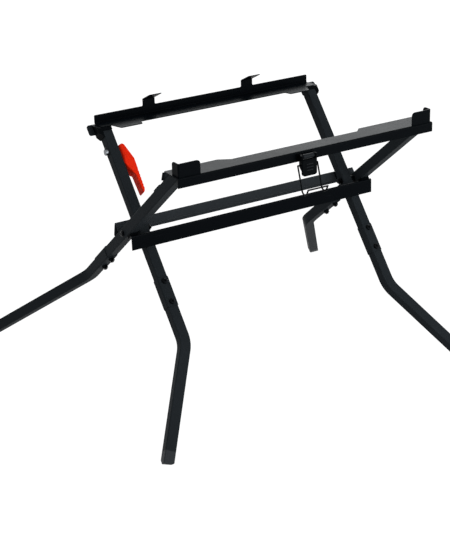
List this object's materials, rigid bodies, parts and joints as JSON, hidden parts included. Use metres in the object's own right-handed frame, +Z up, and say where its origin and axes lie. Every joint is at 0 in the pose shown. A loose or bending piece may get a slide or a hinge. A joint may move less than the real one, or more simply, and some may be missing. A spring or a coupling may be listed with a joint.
{
  "type": "folding saw stand",
  "caption": "Folding scissor stand of square tube with pressed top rails, saw hooks, splayed feet, a draw latch and a lock lever.",
  "frame": {"origin": "on the floor, in the middle of the stand's bounding box", "axes": "+X along the top rails to the operator's right, +Y to the rear, +Z up"},
  "size_m": [1.0848, 0.8508, 0.6598],
  "materials": {
    "frame_coat": "satin black powder coat",
    "rail_coat": "semi-gloss black powder coat",
    "latch_coat": "black plated",
    "foot_plastic": "matte",
    "spacer_plastic": "matte",
    "rest_rubber": "matte",
    "black_bolt": "black oxide",
    "zinc": "zinc plated",
    "lever_red": "moulded"
  },
  "bodies": {
    "inner_frame": {"rear_rail": "rail_coat", "front_lower_rail": "rail_coat", "inner_leg_left": "frame_coat", "inner_leg_right": "frame_coat", "inner_sleeve_left": "frame_coat", "inner_sleeve_right": "frame_coat", "inner_lower_leg_left": "frame_coat", "inner_lower_leg_right": "frame_coat", "inner_foot_left": "foot_plastic", "inner_foot_right": "foot_plastic", "inner_sleeve_bolts_left": "black_bolt", "inner_sleeve_bolts_right": "black_bolt", "front_rest_pad_left": "rest_rubber", "front_rest_pad_right": "rest_rubber", "pivot_bolt_left": "black_bolt", "pivot_bolt_right": "black_bolt", "pivot_nut_left": "black_bolt", "pivot_nut_right": "black_bolt", "pivot_spacer_left": "spacer_plastic", "pivot_spacer_right": "spacer_plastic", "top_spacer_left": "spacer_plastic", "top_spacer_right": "spacer_plastic", "stop_tab_left": "frame_coat", "stop_tab_right": "frame_coat"},
    "outer_frame": {"front_rail": "rail_coat", "rear_lower_rail": "rail_coat", "outer_leg_left": "frame_coat", "outer_leg_right": "frame_coat", "outer_sleeve_left": "frame_coat", "outer_sleeve_right": "frame_coat", "outer_lower_leg_left": "frame_coat", "outer_lower_leg_right": "frame_coat", "outer_foot_left": "foot_plastic", "outer_foot_right": "foot_plastic", "outer_sleeve_bolts_left": "black_bolt", "outer_sleeve_bolts_right": "black_bolt", "rear_rest_pad_left": "rest_rubber", "rear_rest_pad_right": "rest_rubber", "corner_stop_left": "rail_coat", "corner_stop_right": "rail_coat", "gusset_left": "frame_coat", "gusset_right": "frame_coat", "strike_plate": "frame_coat", "latch_base": "latch_coat", "latch_pin": "black_bolt"},
    "lock": {"lock_lever": "lever_red", "lock_shaft": "zinc"},
    "latch": {"latch_lever": "latch_coat"},
    "bail": {"latch_bail": "latch_coat"}
  },
  "joints": [
    {"name": "fold", "type": "hinge", "parent": "inner_frame", "child": "outer_frame", "pos_m": [0, -0.07948, 0.4], "axis": [-1, 0, 0], "range_deg": [0, 89.8]},
    {"name": "lock_swing", "type": "hinge", "parent": "inner_frame", "child": "lock", "pos_m": [-0.2835, 0.04582, 0.552], "axis": [-1, 0, 0], "range_deg": [0, 35], "stiffness_Nm_per_rad": 0.6, "springref_deg": -17.19},
    {"name": "latch_swing", "type": "hinge", "parent": "outer_frame", "child": "latch", "pos_m": [-0.0165, -0.3565, 0.596], "axis": [-1, 0, 0], "range_deg": [0, 110]},
    {"name": "bail_swing", "type": "hinge", "parent": "latch", "child": "bail", "pos_m": [-0.0165, -0.3555, 0.578], "axis": [-1, 0, 0], "range_deg": [-100, 60]}
  ]
}
